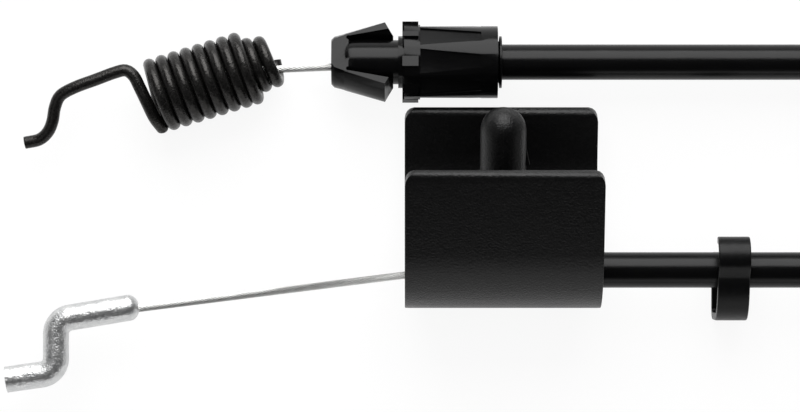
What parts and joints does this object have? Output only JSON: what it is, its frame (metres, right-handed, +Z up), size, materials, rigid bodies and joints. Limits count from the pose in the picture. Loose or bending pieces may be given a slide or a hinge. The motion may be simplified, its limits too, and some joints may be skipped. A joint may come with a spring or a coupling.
{
  "type": "clutch cable",
  "caption": "mower clutch cable with a spring and snap-in fitting at one end and a Z fitting with a handlebar bracket at the other",
  "frame": {"origin": "on the floor, under the middle of the two ends without the conduit and its clip", "axes": "+X along both ends from the hook and the Z fitting towards the conduit, +Y towards the engine end, +Z up"},
  "size_m": [0.228, 0.0834, 0.0341],
  "materials": {
    "black_nylon": "glossy moulded nylon",
    "collar_black": "thin glossy plastic",
    "jacket_black": "smooth extruded jacket",
    "grained_black": "fine grained moulding",
    "satin_black": "satin moulding",
    "armour_steel": "plain flat wire",
    "liner_white": "smooth liner",
    "strand_steel": "bright stranded wire",
    "spring_black": "black coated spring steel",
    "zinc": "bright zinc plate"
  },
  "bodies": {
    "cable_body": {"snap_fitting": "black_nylon", "conduit_collar": "collar_black", "engine_jacket": "jacket_black", "engine_armour": "armour_steel", "engine_liner": "liner_white", "engine_run": "jacket_black", "spare_coil": "jacket_black", "lever_run": "jacket_black", "lever_jacket": "jacket_black", "lever_armour": "armour_steel", "lever_liner": "liner_white", "handlebar_bracket": "grained_black"},
    "engine_wire_body": {"engine_wire": "strand_steel", "wire_stop": "strand_steel"},
    "spring_body": {"return_spring": "spring_black"},
    "lever_wire_body": {"lever_wire": "strand_steel", "z_fitting": "zinc"},
    "clip_body": {"cable_clip": "satin_black"}
  },
  "joints": [
    {"name": "wire_slide", "type": "slide", "parent": "cable_body", "child": "engine_wire_body", "axis": [1, 0, 0], "range_m": [-0.04, 0.007]},
    {"name": "spring_swivel", "type": "hinge", "parent": "engine_wire_body", "child": "spring_body", "pos_m": [-0.01384, 0.02447, 0.00685], "axis": [0.9563, 0.2924, 0], "continuous": true},
    {"name": "lever_slide", "type": "slide", "parent": "cable_body", "child": "lever_wire_body", "axis": [-0.9923, -0.1242, 0], "range_m": [-0.04, 0.007], "deforming": ["lever_wire"]},
    {"name": "clip_slide", "type": "slide", "parent": "cable_body", "child": "clip_body", "axis": [1, 0, 0], "range_m": [-0.0195, 0.0105]}
  ],
  "couplings": [
    {"joint": "lever_slide", "follows": "wire_slide", "ratio": 1}
  ]
}
